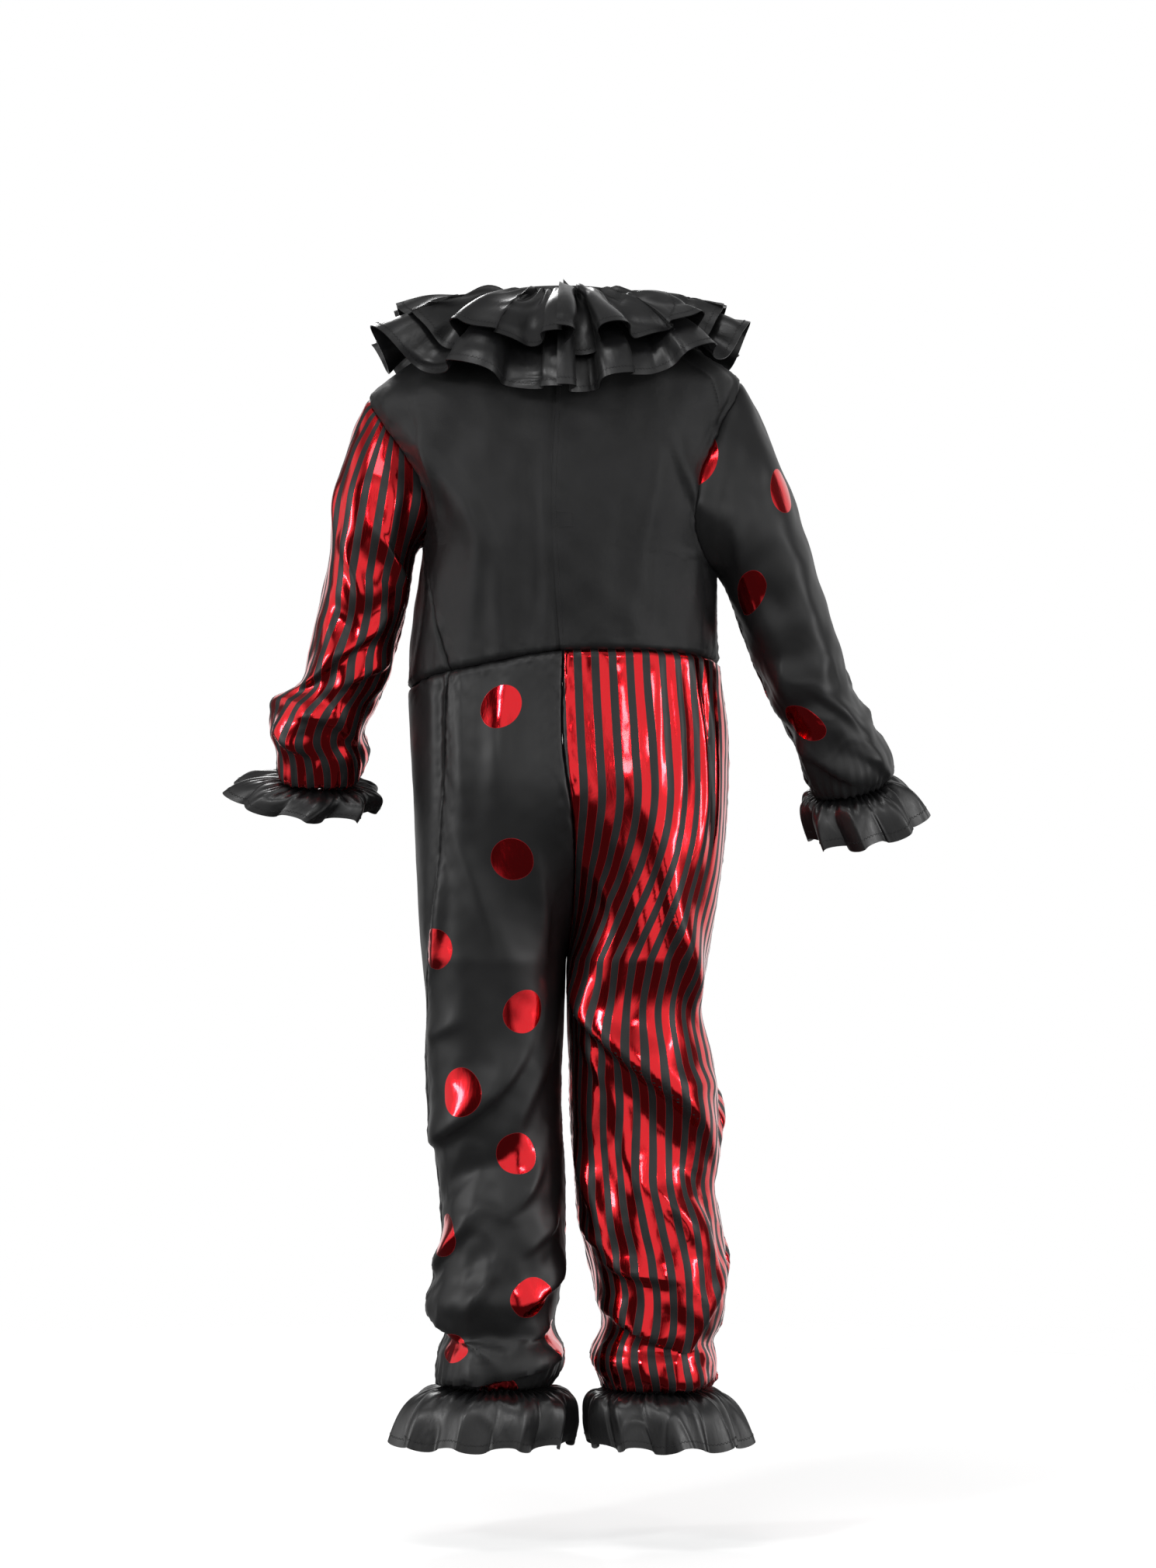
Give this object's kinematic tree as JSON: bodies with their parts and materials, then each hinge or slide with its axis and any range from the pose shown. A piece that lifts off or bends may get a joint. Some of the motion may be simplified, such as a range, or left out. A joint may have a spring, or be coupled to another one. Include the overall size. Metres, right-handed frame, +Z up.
{
  "type": "clown costume",
  "caption": "One-piece clown suit for a child, hollow as worn, with a tiered neck ruffle, frilled cuffs and ankles, and striped and dotted foil print on the limbs.",
  "frame": {"origin": "between the shoulders at the foot of the neck, in the middle of the neck opening, where the wearer carries the suit", "axes": "+Z up the body, -Y the way the wearer faces, +X the wearer's left"},
  "size_m": [0.6437, 0.295, 1.0551],
  "materials": {
    "bodice_cloth": "matte woven polyester",
    "striped_foil_cloth": "black cloth with red metallic foil stripes",
    "dotted_foil_cloth": "black cloth with red metallic foil dots",
    "black_satin": "glossy satin"
  },
  "bodies": {
    "root": {"bodice_front": "bodice_cloth", "bodice_back_left": "bodice_cloth", "bodice_back_right": "bodice_cloth", "sleeve_left": "striped_foil_cloth", "sleeve_right": "dotted_foil_cloth", "leg_left_back": "dotted_foil_cloth", "leg_left_front": "dotted_foil_cloth", "leg_right_back": "striped_foil_cloth", "leg_right_front": "striped_foil_cloth", "neckband": "black_satin", "neck_ruffle_lower": "black_satin", "neck_ruffle_upper": "black_satin", "cuff_frill_left": "black_satin", "cuff_frill_right": "black_satin", "ankle_frill_left": "black_satin", "ankle_frill_right": "black_satin"}
  },
  "joints": []
}
